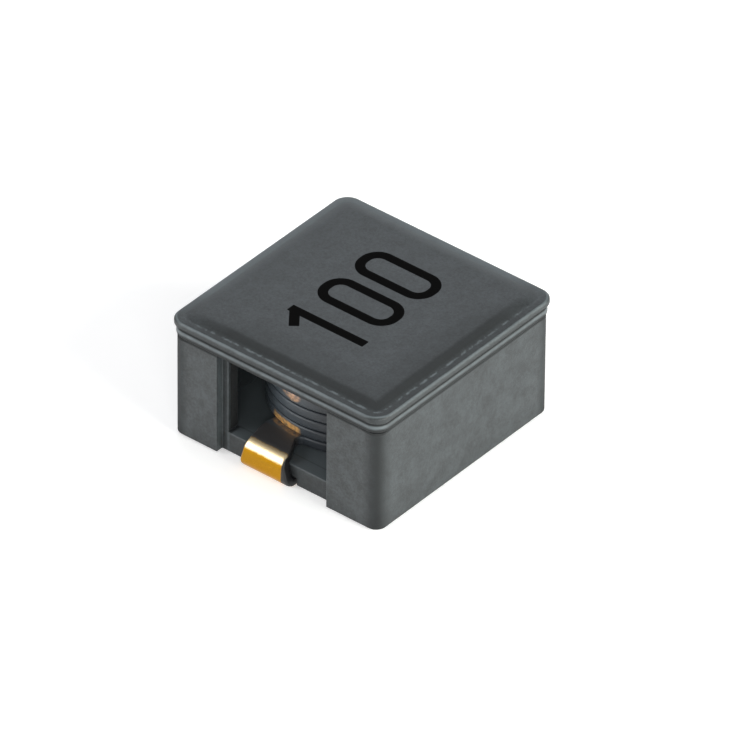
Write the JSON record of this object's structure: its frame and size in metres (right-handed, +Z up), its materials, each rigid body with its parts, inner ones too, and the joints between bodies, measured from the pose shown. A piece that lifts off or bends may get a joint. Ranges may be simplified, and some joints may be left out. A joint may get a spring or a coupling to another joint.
{
  "type": "shielded smd inductor",
  "caption": "Square shielded surface-mount power inductor: ferrite core in two halves round a flat-wire coil whose ends fold under the base as solder pads.",
  "frame": {"origin": "middle of the footprint, on the board plane that the two solder pads rest on", "axes": "+Z up out of the board through the lid; -Y out of the window with the low lead, +Y out of the window with the high lead; X across the two plain side walls"},
  "size_m": [0.0102, 0.0104, 0.0055],
  "materials": {
    "ferrite": "matt, fine grained, dark grey",
    "flat_wire": "gold-coloured bare metal at the terminals, dark enamel on the winding",
    "black_epoxy": "black epoxy: the bond line of the joint and the printed mark"
  },
  "bodies": {
    "root": {"upper_core": "ferrite", "lower_core": "ferrite", "coil": "flat_wire", "bond_left": "black_epoxy", "bond_right": "black_epoxy"}
  },
  "joints": []
}
